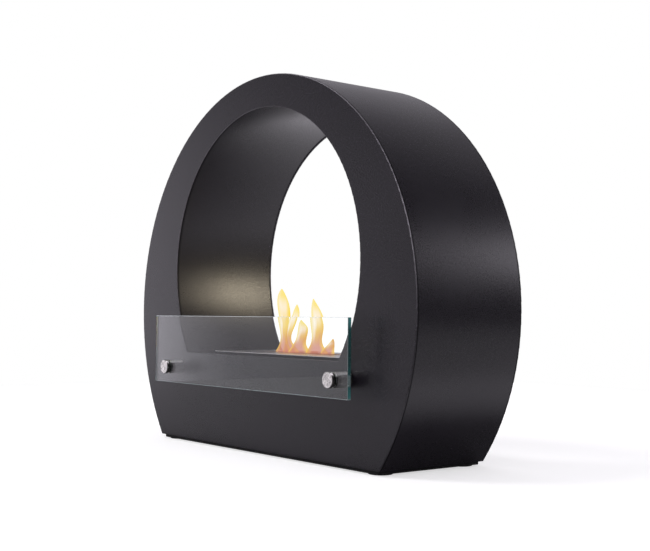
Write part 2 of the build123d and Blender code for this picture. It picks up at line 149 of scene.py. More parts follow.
class FireplaceSteelSettings(bpy.types.PropertyGroup):
    """Bare metal: stand-offs, burner, fasteners and tabs."""

    colour: colour_of("Brushed steel", "the stainless steel", 0.72, 0.70, 0.68)
    burner_colour: colour_of("Burner steel", "the burner's steel away from the heat", 0.70, 0.68, 0.67)
    straw: colour_of("Straw", "the heat tint at the fire slot", 0.50, 0.36, 0.20)
    violet: colour_of("Violet", "the heat tint further out", 0.34, 0.27, 0.36)
    dark_skirt: colour_of("Skirt", "the skirt round the burner's rim", 0.022, 0.021, 0.023)
    # Painted highlight along the rim's bend, on a satin finish
    satin: colour_of("Bend", "the satin bend along the burner's rim", 0.86, 0.83, 0.84)
    zinc: colour_of("Zinc", "the zinc-plated fasteners and tabs", 0.55, 0.57, 0.58)
    roughness: share_of("Roughness", "Middle roughness of the brushed steel", 0.26)
    line: length_of("Brush line", "Width of one brush line", 0.35)


class FireplaceFibreSettings(bpy.types.PropertyGroup):
    """Ceramic fibre in the tank."""

    colour: colour_of("Fibre", "clean ceramic fibre", 0.80, 0.78, 0.74)
    scorched: colour_of("Scorched", "the fibre near the fire", 0.42, 0.36, 0.29)
    layers: IntProperty(
        name="Layers", description="Blanket layers packed into the tank", min=1, max=6, default=3
    )
    corner: length_of("Corner", "Rounding of the blanket's upright corners", 7)
    pinch: length_of("Pinch", "How far the blanket draws in between two layers", 1.6)


class FireplaceFlameSettings(bpy.types.PropertyGroup):
    """Flames over the fire slot."""

    core: colour_of("Inside", "the inside of a flame", 1.0, 0.80, 0.50)
    rim: colour_of("Rim", "the rim and the tip of a flame", 0.98, 0.77, 0.09)
    warm: colour_of("Warm side", "a flame's right-hand side", 0.97, 0.66, 0.055)
    amber: colour_of("Amber", "the low right-hand side, over the foot", 0.76, 0.33, 0.05)
    stem: colour_of("Foot", "the inside of a flame's foot", 0.66, 0.22, 0.14)
    stem_rim: colour_of("Rim of the foot", "the rim where the foot spreads", 0.96, 0.60, 0.08)
    density: share_of("Density", "How much one side of a flame covers what stands behind it", 0.20)
    thickness: share_of("Thickness", "Depth of a flame against its width", 0.5, low=0.1)


class FireplaceStageSettings(bpy.types.PropertyGroup):
    """Floor, light and camera."""

    lens: FloatProperty(name="Lens", description="Focal length", subtype="DISTANCE_CAMERA", default=60.61)
    place: FloatVectorProperty(
        name="Camera", description="Where the camera stands",
        subtype="TRANSLATION", unit="LENGTH", size=3, default=(1.1583, -0.8649, 0.1764),
    )
    yaw: angle_of("Yaw", "Turn of the camera to the left of straight ahead", 51.94)
    pitch: angle_of("Pitch", "Upward tilt of the camera", 2.16)
    roll: angle_of("Roll", "Tilt of the camera to one side", 0.51)
    floor_colour: colour_of("Floor", "the floor", 0.60, 0.60, 0.60)
    floor_white: level_of("Floor white", "Light added to the floor where it is looked at", 0.58)
    floor_mirrored: level_of("Floor mirrored", "Light added to the floor where the object mirrors it", 0.7)
    floor_half: length_of("Floor size", "Half the width of the floor", 1400)
    backdrop_through: level_of("Backdrop through glass", "Brightness of what shows through the screen", 1.15)
    ambient: level_of("Ambient", "Light from all round", 0.7)
    studio_dark: level_of("Studio walls", "Brightness of what is mirrored where no panel stands", 0.03)
    studio_tint: colour_of(
        "Studio tint", "the light from all round and of the panels", 1.0, 0.955, 1.045, high=1.5
    )
    key_strength: level_of("Key light", "Strength of the key light", 1.0)
    key_azimuth: angle_of("Key azimuth", "Direction of the key light, from behind to the right", -142)
    key_elevation: angle_of("Key height", "Height of the key light over the horizon", 48)
    key_softness: angle_of("Key softness", "Angle that the key light fills", 18)
    wall_power: level_of("Wall lamp", "Power of the warm lamp behind", 0.075)
    wall_colour: colour_of("Wall lamp colour", "the warm lamp behind", 1.0, 0.87, 0.65)
    wall_size: FloatVectorProperty(
        name="Wall lamp size", description="Width and height of the warm lamp",
        subtype="XYZ_LENGTH", unit="LENGTH", size=2, default=(120 * MM, 110 * MM),
    )
    wall_spread: angle_of("Wall lamp spread", "Angle that the warm lamp's light fills", 65)


# ---- finishes

# Range that most values of a noise texture lie in
NOISE_LOW, NOISE_HIGH = 0.3, 0.7


class Nodes:
    """A node tree, with short ways to add and join its nodes."""

    def __init__(self, tree):
        self.nodes, self.links = tree.nodes, tree.links
        self.nodes.clear()

    def put(self, source, target):
        """Set a socket to a constant, or join another socket to it."""
        if isinstance(source, bpy.types.NodeSocket):
            self.links.new(source, target)
        elif hasattr(source, "__len__"):
            opaque = (1.0,) if target.type == "RGBA" and len(source) == 3 else ()
            target.default_value = (*source, *opaque)
        else:
            target.default_value = source

    def add(self, kind, inputs=(), **values):
        """A new node, with its own values set, and its inputs set or joined by name or place."""
        node = self.nodes.new("ShaderNode" + kind)
        for name, value in values.items():
            setattr(node, name, value)
        for key, value in dict(inputs).items():
            self.put(value, node.inputs[key])
        return node

    def math(self, kind, a, b=0.0, clamp=False):
        return self.add("Math", {0: a, 1: b, 2: 0.0}, operation=kind, use_clamp=clamp).outputs[0]

    def chain(self, kind, first, *others):
        for other in others:
            first = self.math(kind, first, other)
        return first

    def plus(self, *values):
        return self.chain("ADD", *values)

    def minus(self, a, b):
        return self.math("SUBTRACT", a, b)

    def times(self, *values):
        return self.chain("MULTIPLY", *values)

    def most(self, *values):
        return self.chain("MAXIMUM", *values)

    def size(self, value):
        return self.math("ABSOLUTE", value)

    def distance(self, a, b):
        """Length of the line whose two sides at right angles are a and b."""
        return self.math("SQRT", self.plus(self.math("POWER", a, 2.0), self.math("POWER", b, 2.0)))

    def vector(self, kind, a, b):
        outputs = self.add("VectorMath", {0: a, 1: b}, operation=kind).outputs
        return outputs["Value" if kind == "DOT_PRODUCT" else 0]

    def split(self, vector):
        return self.add("SeparateXYZ", {0: vector}).outputs

    def spread(self, value, low, high, out_low=0.0, out_high=1.0, kind="LINEAR"):
        """Map one range of a value onto another, without leaving it."""
        inputs = dict(enumerate((value, low, high, out_low, out_high)))
        return self.add("MapRange", inputs, interpolation_type=kind).outputs[0]

    def ease(self, *values):
        """Like spread, with soft ends."""
        return self.spread(*values, kind="SMOOTHSTEP")

    def band(self, value, start, full, still_full, end):
        """A value that rises from 0 to 1 and falls back to 0."""
        return self.times(self.spread(value, start, full), self.spread(value, still_full, end, 1.0, 0.0))

    def vary(self, noise, low, high):
        """A noise spread over a range."""
        return self.spread(noise, NOISE_LOW, NOISE_HIGH, low, high)

    def mix(self, amount, a, b):
        """A number between a and b."""
        return self.spread(amount, 0.0, 1.0, a, b)

    def blend(self, amount, a, b):
        """A colour between a and b."""
        return self.add("Mix", {0: amount, 6: a, 7: b}, data_type="RGBA").outputs[2]

    def scaled(self, colour, factor):
        """A colour made lighter or darker by a factor."""
        return self.add("VectorMath", {0: colour, "Scale": factor}, operation="SCALE").outputs[0]


class Finish(Nodes):
    """A material while it is being built, on Object coordinates."""

    def __init__(self, name):
        self.material = bpy.data.materials.new(name)
        self.material.use_nodes = True
        super().__init__(self.material.node_tree)
        self.shader = self.add("BsdfPrincipled")
        self.output = self.add("OutputMaterial", {"Surface": self.shader.outputs["BSDF"]})
        self.place = self.add("TexCoord").outputs["Object"]

    def set(self, **values):
        """Set the shader's own sockets, named in lower case with underscores."""
        for name, value in values.items():
            self.put(value, self.shader.inputs[name.replace("_", " ").title().replace("Ior", "IOR")])
        return self

    def attribute(self, name):
        """A number that the mesh carries at each vertex."""
        return self.add("Attribute", attribute_name=name).outputs["Fac"]

    def normal(self):
        """The three parts of the way that the surface faces."""
        return self.split(self.add("NewGeometry").outputs["True Normal"])

    def move(self, centre=(0, 0, 0), scale=(1, 1, 1)):
        """Object coordinates measured from a centre and stretched."""
        shifted = self.vector("SUBTRACT", self.place, centre)
        return self.add("Mapping", {"Vector": shifted, "Scale": scale}).outputs[0]

    def noise(self, scale, detail=2.0, rough=0.5, place=None):
        inputs = {"Vector": place or self.place, "Scale": scale, "Detail": detail, "Roughness": rough}
        return self.add("TexNoise", inputs).outputs[0]

    def cells(self, scale):
        return self.add("TexVoronoi", {"Vector": self.place, "Scale": scale}).outputs

    def bump(self, height, distance, under=None):
        inputs = {"Height": height, "Distance": distance}
        if under is not None:
            inputs["Normal"] = under
        return self.add("Bump", inputs).outputs[0]


def toned(colour, *factors):
    """A colour with its channels multiplied, by one factor or by one each."""
    return [channel * factor for channel, factor in zip(colour, factors if len(factors) > 1 else factors * 3)]


def dress(names, finish):
    """Give one material to every slot of some CAD nodes."""
    for name in names:
        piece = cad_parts[name]
        if not piece.material_slots:
            piece.data.materials.append(finish.material)
        for slot in piece.material_slots:
            slot.material = finish.material


# Powder coat: gloss waves per metre, and how much finer and lower the fine grain is than the grain
COAT_WAVES = 9.0
FINE_GRAIN, FINE_RELIEF = 2.6, 0.45
# Roughness that the grain spans, that the waves add or take, and that bends and joints add
GRAIN_ROUGHNESS, WAVE_ROUGHNESS, BEND_ROUGHNESS, JOINT_ROUGHNESS = 0.14, 0.02, 0.12, 0.2
# How squarely a panel's rounded edge faces front or back: where it starts, is full, is still full and ends
PANEL_BEND = (0.1, 0.3, 0.85, 0.97)
# Heights over the body's lower edge between which the painted highlight on the rounded edges comes in,
# painted as light from above, and its share below them
EDGE_FADE, EDGE_LEAST = (170 * MM, 300 * MM), 0.12
# Rear panel's lip, painted pale as painted light where its corner lies in shade: its width and fade from the
# body's back, and how much paler it is than the painted edge highlight
LIP_WIDTH, LIP_FADE, LIP_TONE = 4 * MM, 1 * MM, 1.7


def powder_coat(settings, joints=(), rounded=False):
    """Satin black powder coat: fine grain, a slow change of gloss, lighter at the top of the grain. At each
    joint, given as the levels in Y where it is full and where it ends, it darkens to painted shade: at the
    shell a dark joint line widened by painted shade, in the liner painted shade behind the panel's lip. Round
    a rounded sheet's edge it carries a painted highlight that fades out lower down, and it has less grain
    there. Inside the rear lip it is painted palest, as painted light in its shaded corner."""
    coat = Finish("satin_powder_coat" + "_with_joint" * bool(joints) + "_on_rounded_sheet" * rounded)
    grain = coat.noise(1 / settings.grain, detail=3.0, rough=0.55)
    fine = coat.noise(FINE_GRAIN / settings.grain, rough=0.6)
    waves = coat.noise(COAT_WAVES, detail=3.0)
    _, depth, height = coat.split(coat.place)
    tone = coat.blend(coat.ease(grain, 0.44, 0.72), settings.colour, settings.sheen_colour)
    tone = coat.scaled(tone, coat.spread(waves, 0.35, 0.65, 0.92, 1.08))
    rough = coat.plus(coat.times(grain, GRAIN_ROUGHNESS), settings.roughness - GRAIN_ROUGHNESS / 2)
    rough = coat.plus(rough, coat.vary(waves, -WAVE_ROUGHNESS, WAVE_ROUGHNESS))
    if rounded:
        facing = coat.normal()[1]
        # Painted highlight: the rounded edge is paler, fading out lower down as if lit from above
        bend = coat.band(coat.size(facing), *PANEL_BEND)
        wear_and_light_from_above = coat.ease(height, *(BODY_LOW.z + fade for fade in EDGE_FADE), EDGE_LEAST, 1.0)
        # Painted light in the shaded corner inside the rear lip
        lip_start = BODY_HIGH.y - LIP_WIDTH
        lip = coat.times(
            coat.spread(facing, -0.8, -0.5, 1.0, 0.0), coat.spread(depth, lip_start, lip_start + LIP_FADE)
        )
        tone = coat.blend(coat.times(bend, wear_and_light_from_above), tone, settings.edge_highlight)
        tone = coat.blend(lip, tone, toned(settings.edge_highlight, LIP_TONE))
        rough = coat.plus(rough, coat.times(bend, BEND_ROUGHNESS))
        plain = coat.minus(1.0, bend)
        grain, fine = coat.times(grain, plain), coat.times(fine, plain)
    relief = coat.bump(grain, settings.relief)
    relief = coat.bump(fine, settings.relief * FINE_RELIEF, under=relief)
    if joints:
        # Painted shade at each joint: near black and metallic, so that it also loses its gloss
        joint_shade = coat.most(*(coat.ease(depth, full, end, 1.0, 0.0) for full, end in joints))
        tone = coat.blend(joint_shade, tone, settings.joint_shade)
        rough = coat.plus(rough, coat.times(joint_shade, JOINT_ROUGHNESS))
        coat.set(metallic=joint_shade)
    return coat.set(base_color=tone, roughness=rough, specular_ior_level=0.5, normal=relief)


def base_coat(settings):
    """Matt coat of the base plate, with faint rub marks."""
    coat = Finish("matt_base_coat")
    rubs = coat.noise(60.0, detail=4.0, rough=0.65, place=coat.move(scale=(0.15, 1.0, 1.0)))
    wear_and_light_from_above = coat.spread(rubs, 0.5, 0.8, 0.0, 0.5)
    return coat.set(
        base_color=coat.blend(wear_and_light_from_above, settings.base_colour, toned(settings.base_colour, 2.2)),
        roughness=coat.vary(rubs, 0.62, 0.5),
        specular_ior_level=0.25,
        normal=coat.bump(coat.noise(900.0), 0.04 * MM),
    )


def rubber(settings):
    """Moulded black rubber with a dusty bloom."""
    pad = Finish("pad_rubber")
    bloom = pad.noise(220.0, detail=4.0, rough=0.7)
    dust = (0.05, 0.049, 0.047)
    return pad.set(
        base_color=pad.blend(pad.spread(bloom, 0.4, 0.8, 0.0, 0.6), settings.rubber_colour, dust),
        roughness=pad.vary(bloom, 0.7, 0.86),
        specular_ior_level=0.35,
        normal=pad.bump(pad.cells(1400.0)["Distance"], 0.05 * MM),
    )


def tab_steel(settings):
    """Zinc-coated sheet of the tabs inside the body, with its spangle."""
    sheet = Finish("spangled_zinc")
    spangle = sheet.split(sheet.cells(260.0)["Color"])[0]
    return sheet.set(
        base_color=sheet.blend(spangle, toned(settings.zinc, 0.72), settings.zinc),
        metallic=1.0,
        roughness=sheet.mix(spangle, 0.36, 0.55),
        normal=sheet.bump(sheet.noise(700.0, detail=3.0), 0.02 * MM),
    )


# ---- operators: carried-over pieces

# How far the joints between panels and shell lie inside the panels' outer faces
SHELL_JOINT_INSET = 1.8 * MM
# Width of the painted shade at the liner's front joint, and of the shell's dark joints widened by painted
# shade, against the joint setting
LINER_JOINT, SHELL_JOINT = 1.4, 0.5


class FIREPLACE_OT_body(bpy.types.Operator):
    """Give the body its satin powder coat and the tabs inside it their zinc"""

    bl_idname = "fireplace.body"
    bl_label = "Coat the Body"

    def execute(self, context):
        settings = context.scene.fireplace_coat
        dress(("hearth_plate",), powder_coat(settings))
        dress(PANELS, powder_coat(settings, rounded=True))
        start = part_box("inner_liner")[0].y
        dress(("inner_liner",), powder_coat(settings, [(start, start + settings.seam * LINER_JOINT)]))
        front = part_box("front_panel")[0].y + SHELL_JOINT_INSET
        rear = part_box("rear_panel")[1].y - SHELL_JOINT_INSET
        width = settings.seam * SHELL_JOINT
        dress(("outer_shell",), powder_coat(settings, [(front, front + width), (rear, rear - width)]))
        dress(TABS, tab_steel(context.scene.fireplace_steel))
        return {"FINISHED"}


class FIREPLACE_OT_base(bpy.types.Operator):
    """Give the base plate its matt coat and the pads their rubber"""

    bl_idname = "fireplace.base"
    bl_label = "Finish the Base"

    def execute(self, context):
        settings = context.scene.fireplace_coat
        dress(("base_plate",), base_coat(settings))
        dress(FEET, rubber(settings))
        return {"FINISHED"}


# How squarely the glass faces front or back: its edges end, and its bevels give way to the face
GLASS_EDGE, GLASS_BEVEL = (0.3, 0.4), (0.9, 0.98)
# Distances from the lower and the upper edge in which painted light makes the green lighter, and its range of
# lightness
GREEN_LOW_END, GREEN_HIGH_END, GREEN_RANGE = (4 * MM, 24 * MM), (16 * MM, 4 * MM), (0.55, 1.6)
# Painted light patches, where the stand-off shows through and along the lower and left edges: distance from
# the stand-off's middle, and width of the ones along the edges
FIXING_PATCH, EDGE_PATCH = (4.5 * MM, 8 * MM), (1 * MM, 2 * MM)


def float_glass(settings):
    """Clear float glass. Its edge is green, with painted light at its ends, beside the stand-off and along
    the lower and left edges, between pale bevels."""
    glass = Finish("clear_float_glass")
    facing = glass.size(glass.normal()[1])
    edge = glass.spread(facing, *GLASS_EDGE, 1.0, 0.0)
    cut = glass.spread(facing, *GLASS_BEVEL, 1.0, 0.0)
    across, _, height = glass.split(glass.place)
    low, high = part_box("glass_panel")
    fixing = sum(corner.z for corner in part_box("right_standoff_cap")) / 2
    clouds = glass.spread(glass.noise(28.0), 0.35, 0.65)
    green = glass.blend(clouds, settings.edge_colour, toned(settings.edge_colour, 1.7))
    # Painted light and shade: the green edge is lighter near its ends and darker between them
    ends = glass.most(
        glass.ease(height, *(low.z + reach for reach in GREEN_LOW_END), 1.0, 0.0),
        glass.ease(height, *(high.z - reach for reach in GREEN_HIGH_END), 0.0, 1.0),
    )
    green = glass.scaled(green, glass.mix(ends, *GREEN_RANGE))
    # Painted light: patches beside the stand-off and along the lower and left edges
    light = glass.most(
        glass.ease(glass.size(glass.minus(height, fixing)), *FIXING_PATCH, 1.0, 0.0),
        glass.spread(height, *(low.z + reach for reach in EDGE_PATCH), 1.0, 0.0),
        glass.spread(across, *(low.x + reach for reach in EDGE_PATCH), 1.0, 0.0),
    )
    green = glass.blend(light, green, settings.edge_light)
    right_end = glass.spread(across, high.x - 1 * MM, high.x)
    bevel = glass.blend(right_end, settings.bevel_colour, toned(settings.bevel_colour, 0.4))
    grinding = glass.noise(900.0, place=glass.move(scale=(1.0, 0.2, 1.0)))
    cut_clear = glass.mix(edge, settings.bevel_clear, settings.edge_clear)
    glass.set(
        base_color=glass.blend(edge, glass.blend(cut, (1.0, 1.0, 1.0), bevel), green),
        transmission_weight=glass.mix(cut, 1.0, cut_clear),
        ior=1.5,
        roughness=glass.times(glass.times(cut, glass.vary(grinding, 0.75, 1.25)), settings.edge_roughness),
    )
    absorb = glass.add("VolumeAbsorption", {"Color": settings.tint, "Density": settings.depth})
    glass.put(absorb.outputs[0], glass.output.inputs["Volume"])
    return glass


def clear_plastic(settings):
    """Clear plastic with a slight haze."""
    plastic = Finish("clear_plastic")
    haze = plastic.noise(500.0, detail=3.0)
    return plastic.set(
        base_color=plastic.blend(haze, settings.plastic_colour, (0.95, 0.96, 0.95)),
        transmission_weight=0.75,
        ior=1.46,
        roughness=plastic.vary(haze, 0.2, 0.4),
    )


class FIREPLACE_OT_screen(bpy.types.Operator):
    """Make the screen clear glass with green ground edges"""

    bl_idname = "fireplace.screen"
    bl_label = "Make the Glass Screen"

    def execute(self, context):
        settings = context.scene.fireplace_glass
        dress(("glass_panel",), float_glass(settings))
        dress(CLEAR_RINGS, clear_plastic(settings))
        return {"FINISHED"}


# Stand-offs: angle of the painted sheen sectors of a cap's face, and how much smears break them up
SECTOR_TURN, SECTOR_BREAK = math.radians(50), 0.7
# Lightness of a cap's face from its darker to its lighter painted sheen sectors
FACE_LIGHT = (0.9, 1.36)
# Painted highlight line along the two upper shoulders, with the round side painted dark elsewhere: height
# against the radius, fade to both sides, lightness
SHOULDER, SHOULDER_FADE, SHOULDER_LIGHT = 0.78, (0.07, 0.24), (0.95, 0.13)
# From the round side to the flat face: shares of metal, of roughness and of ring relief
SIDE_TO_FACE_METAL, SIDE_TO_FACE_ROUGHNESS, SIDE_TO_FACE_RELIEF = (1.0, 0.6), (2.0, 1.1), (0.06, 1.0)


def turned_steel(settings, side, centre):
    """Stainless steel turned on a lathe: rings about the axis at centre, which runs along Y. Its face carries
    painted sheen sectors, and its round sides are painted dark except for a painted highlight line along the
    upper shoulders.
    """
    steel = Finish(f"turned_steel_{side}")
    across, along, up = steel.split(steel.vector("SUBTRACT", steel.place, centre))
    radius = steel.distance(across, up)
    lane = steel.add("CombineXYZ", {0: radius, 1: along}).outputs[0]
    rings = steel.noise(1 / settings.line, detail=3.0, rough=0.7, place=lane)
    smears = steel.noise(300.0)
    face = steel.spread(steel.size(steel.normal()[1]), 0.8, 0.95)
    # Painted sheen: lighter and darker sectors across the cap's face
    turn = steel.math("ARCTAN2", up, across)
    sector = steel.math("COSINE", steel.times(steel.minus(turn, SECTOR_TURN), 2.0))
    breaks = steel.noise(420.0, detail=3.0)
    sector = steel.plus(sector, steel.vary(breaks, -SECTOR_BREAK, SECTOR_BREAK))
    # Painted highlight along the upper shoulders, with the rest of the round side painted dark
    shoulder = steel.size(steel.minus(steel.math("DIVIDE", up, radius), SHOULDER))
    light = steel.spread(
        face, 0.0, 1.0,
        steel.ease(shoulder, *SHOULDER_FADE, *SHOULDER_LIGHT),
        steel.spread(sector, -1.2, 1.2, *FACE_LIGHT),
    )
    shade = steel.blend(steel.vary(rings, 0.0, 1.0), toned(settings.colour, 0.84), settings.colour)
    rough = steel.plus(steel.vary(rings, -0.04, 0.06), steel.vary(smears, 0.20, 0.27))
    relief = steel.times(rings, steel.mix(face, *SIDE_TO_FACE_RELIEF))
    return steel.set(
        base_color=steel.scaled(shade, light),
        metallic=steel.mix(face, *SIDE_TO_FACE_METAL),
        roughness=steel.times(rough, steel.mix(face, *SIDE_TO_FACE_ROUGHNESS)),
        anisotropic=0.85,
        anisotropic_rotation=0.25,
        normal=steel.bump(relief, 0.012 * MM),
        tangent=steel.add("Tangent", direction_type="RADIAL", axis="Y").outputs[0],
    )


class FIREPLACE_OT_standoffs(bpy.types.Operator):
    """Give each stand-off its turned rings, its painted sheen sectors and its painted highlight lines along
    the shoulders
    """

    bl_idname = "fireplace.standoffs"
    bl_label = "Finish the Stand-offs"

    def execute(self, context):
        settings = context.scene.fireplace_steel
        for side, names in STANDOFFS.items():
            low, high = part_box(names[0])
            dress(names, turned_steel(settings, side, (low + high) / 2))
        return {"FINISHED"}


# How far each channel of zinc goes down where it is yellowed
YELLOWED = (0.86, 0.84, 0.74)


class FIREPLACE_OT_fixings(bpy.types.Operator):
    """Give the screws, nuts and lock washers their zinc plating"""

    bl_idname = "fireplace.fixings"
    bl_label = "Finish the Fixings"

    def execute(self, context):
        settings = context.scene.fireplace_steel
        zinc = Finish("zinc_plating")
        cloud = zinc.noise(380.0, detail=3.0, rough=0.6)
        zinc.set(
            base_color=zinc.blend(zinc.vary(cloud, 0.0, 1.0), settings.zinc, toned(settings.zinc, *YELLOWED)),
            metallic=1.0,
            roughness=zinc.vary(cloud, 0.28, 0.42),
            normal=zinc.bump(zinc.noise(2400.0), 0.015 * MM),
        )
        dress(FASTENERS, zinc)
        return {"FINISHED"}


# Burner: half the length and half the depth of the fire slot
SLOT_HALF_LENGTH, SLOT_HALF_DEPTH = 70 * MM, 14 * MM
# Brush lines: how many times longer than wide
LINE_STRETCH = 60
# Heat tint: how far clouds push it, and the distances from the slot over which straw and violet fade out
HEAT_DRIFT, STRAW_REACH, VIOLET_REACH = 6 * MM, (0.0, 14 * MM), (6 * MM, 30 * MM)
# Rim: levels under its top where the skirt's black ends, and the distance from the slot where the rim begins
SKIRT_TOP, RIM_START = (0.8 * MM, 0.4 * MM), (10 * MM, 14 * MM)
# How squarely the bend faces up or down: where it starts, is full, is still full and ends
RIM_BEND = (0.1, 0.5, 0.93, 0.98)
BEND_METAL, SKIRT_ROUGHNESS = 0.15, 0.25


def brushed_steel(settings, name, heat, rim=False):
    """Steel brushed along the burner's length, with heat tint that fades away from the slot. On the rim, the
    bend is satin with a pale painted highlight, and the skirt under it is dark."""
    steel = Finish(name)
    fineness = 1 / settings.line
    brushed = steel.move(scale=(1 / (LINE_STRETCH * settings.line), fineness, fineness))
    lines = steel.noise(1.0, detail=3.0, rough=0.65, place=brushed)
    clouds = steel.noise(45.0, detail=3.0, rough=0.6)
    across, back, _ = steel.split(steel.move(centre=(RIM_LOW + RIM_HIGH) / 2))
    away = steel.distance(
        steel.most(steel.minus(steel.size(across), SLOT_HALF_LENGTH), 0.0),
        steel.most(steel.minus(steel.size(back), SLOT_HALF_DEPTH), 0.0),
    )
    away = steel.plus(away, steel.vary(clouds, -HEAT_DRIFT, HEAT_DRIFT))
    tone = steel.blend(
        steel.vary(lines, 0.0, 1.0), toned(settings.burner_colour, 0.8), settings.burner_colour
    )
    tone = steel.blend(steel.ease(away, *VIOLET_REACH, heat * 0.8, 0.0), tone, settings.violet)
    tone = steel.blend(steel.ease(away, *STRAW_REACH, heat, 0.0), tone, settings.straw)
    rough = steel.plus(
        steel.vary(lines, settings.roughness - 0.05, settings.roughness + 0.09),
        steel.vary(clouds, 0.0, 0.06),
    )
    metal = 1.0
    if rim:
        upright = steel.size(steel.normal()[2])
        below = steel.spread(steel.split(steel.place)[2], *(FIRE_TOP - down for down in SKIRT_TOP), 1.0, 0.0)
        outside = steel.spread(away, *RIM_START)
        # The skirt under the rim is made dark, away from the slot
        black = steel.times(below, steel.spread(upright, 0.3, 0.6, 1.0, 0.0), outside)
        # Painted highlight: the bend along the rim is pale and satin
        bend = steel.times(steel.band(upright, *RIM_BEND), outside)
        tone = steel.blend(bend, tone, settings.satin)
        tone = steel.blend(black, tone, settings.dark_skirt)
        rough = steel.plus(rough, steel.times(black, SKIRT_ROUGHNESS))
        metal = steel.mix(bend, 1.0, BEND_METAL)
    return steel.set(base_color=tone, roughness=rough, metallic=metal, normal=steel.bump(lines, 0.012 * MM))


class FIREPLACE_OT_burner(bpy.types.Operator):
    """Give the burner its brushed steel, tinted by the heat round the fire slot"""

    bl_idname = "fireplace.burner"
    bl_label = "Finish the Burner"

    def execute(self, context):
        settings = context.scene.fireplace_steel
        dress(("burner_tank", *RAILS), brushed_steel(settings, "burner_steel", 0.55))
        dress(("burner_top_plate",), brushed_steel(settings, "burner_rim_steel", 0.55, rim=True))
        dress(("fibre_retainer", "snuffer_plate"), brushed_steel(settings, "heated_steel", 1.0))
        return {"FINISHED"}


# ---- modelling by hand, in code


def deselect():
    """Nothing selected and nothing in edit mode, so that the next operator acts on the new mesh alone."""
    if bpy.context.object is not None and bpy.context.object.mode != "OBJECT":
        bpy.ops.object.mode_set(mode="OBJECT")
    bpy.ops.object.select_all(action="DESELECT")


def pick(piece, kind, test):
    """In edit mode, select the edges or faces for which test says yes."""
    bpy.ops.mesh.select_all(action="DESELECT")
    bpy.ops.mesh.select_mode(type={"edges": "EDGE", "faces": "FACE"}[kind])
    mesh = bmesh.from_edit_mesh(piece.data)
    for part in getattr(mesh, kind):
        if test(part):
            part.select_set(True)
    mesh.select_flush_mode()
    bmesh.update_edit_mesh(piece.data)


def apply_place():
    """Put the place, turn and scale of what is selected into its mesh."""
    bpy.ops.object.transform_apply(location=True, rotation=True, scale=True)


def settle(piece):
    """Leave edit mode, with the piece picked and its place in its mesh."""
    deselect()
    piece.select_set(True)
    bpy.context.view_layer.objects.active = piece
    apply_place()


# ---- fibre blanket

# Depth under the fibre's top that is scorched
SCORCH_DEPTH = 6 * MM


def raise_top(blanket, height, stretch, level, middle):
    """Widen or narrow the top ring, after drawing it up by height if that isn't 0."""
    pick(blanket, "faces", lambda f: abs(f.calc_center_median().z - level) < 0.01 * MM and f.normal.z > 0.9)
    if height:
        bpy.ops.mesh.extrude_region_move(TRANSFORM_OT_translate={"value": (0, 0, height)})
    bpy.ops.transform.resize(value=stretch, center_override=(middle.x, middle.y, level + height))


def ceramic_fibre(settings):
    """White felted fibre: long strands, tufts and a scorched top."""
    felt = Finish("ceramic_fibre")
    strands = felt.noise(1.0, detail=4.0, rough=0.7, place=felt.move(scale=(900.0, 260.0, 700.0)))
    tufts = felt.noise(160.0, detail=4.0, rough=0.65)
    burnt = felt.times(
        felt.ease(felt.split(felt.place)[2], FIBRE_HIGH.z - SCORCH_DEPTH, FIBRE_HIGH.z, 0.0, 0.8),
        felt.spread(tufts, 0.35, 0.65, 0.3, 1.0),
    )
    tone = felt.blend(felt.vary(strands, 0.0, 1.0), toned(settings.colour, 0.9), settings.colour)
    return felt.set(
        base_color=felt.blend(burnt, tone, settings.scorched),
        roughness=0.95,
        specular_ior_level=0.2,
        sheen_weight=0.25,
        sheen_roughness=0.5,
        normal=felt.bump(strands, 0.25 * MM, under=felt.bump(tufts, 0.5 * MM)),
    )


class FIREPLACE_OT_fibre(bpy.types.Operator):
    """Model the ceramic fibre blanket packed into the burner's tank"""

    bl_idname = "fireplace.fibre"
    bl_label = "Pack the Fibre Blanket"

    def execute(self, context):
        settings = context.scene.fireplace_fibre
        size = FIBRE_HIGH - FIBRE_LOW
        middle = (FIBRE_LOW + FIBRE_HIGH) / 2
        half_layer = size.z / settings.layers / 2
        pinched = (size.x - 2 * settings.pinch, size.y - 2 * settings.pinch)
        deselect()
        bpy.ops.mesh.primitive_cube_add(
            size=1.0,
            location=(middle.x, middle.y, FIBRE_LOW.z + half_layer / 2),
            scale=(*pinched, half_layer),
        )
        blanket = context.object
        blanket.name = blanket.data.name = "fibre_blanket"
        apply_place()
        bpy.ops.object.mode_set(mode="EDIT")
        pick(blanket, "edges", lambda e: abs(e.verts[0].co.z - e.verts[1].co.z) > half_layer / 2)
        bpy.ops.mesh.bevel(offset=settings.corner, segments=4, affect="EDGES")
        wide = (size.x / pinched[0], size.y / pinched[1], 1.0)
        narrow = (1 / wide[0], 1 / wide[1], 1.0)
        level = FIBRE_LOW.z + half_layer
        raise_top(blanket, 0.0, wide, level, middle)
        for stretch in (narrow, wide) * (settings.layers - 1) + (narrow,):
            raise_top(blanket, half_layer, stretch, level, middle)
            level += half_layer
        settle(blanket)
        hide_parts("fibre_block")
        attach(blanket, "burner")
        blanket.data.materials.append(ceramic_fibre(settings).material)
        return {"FINISHED"}


# ---- flames

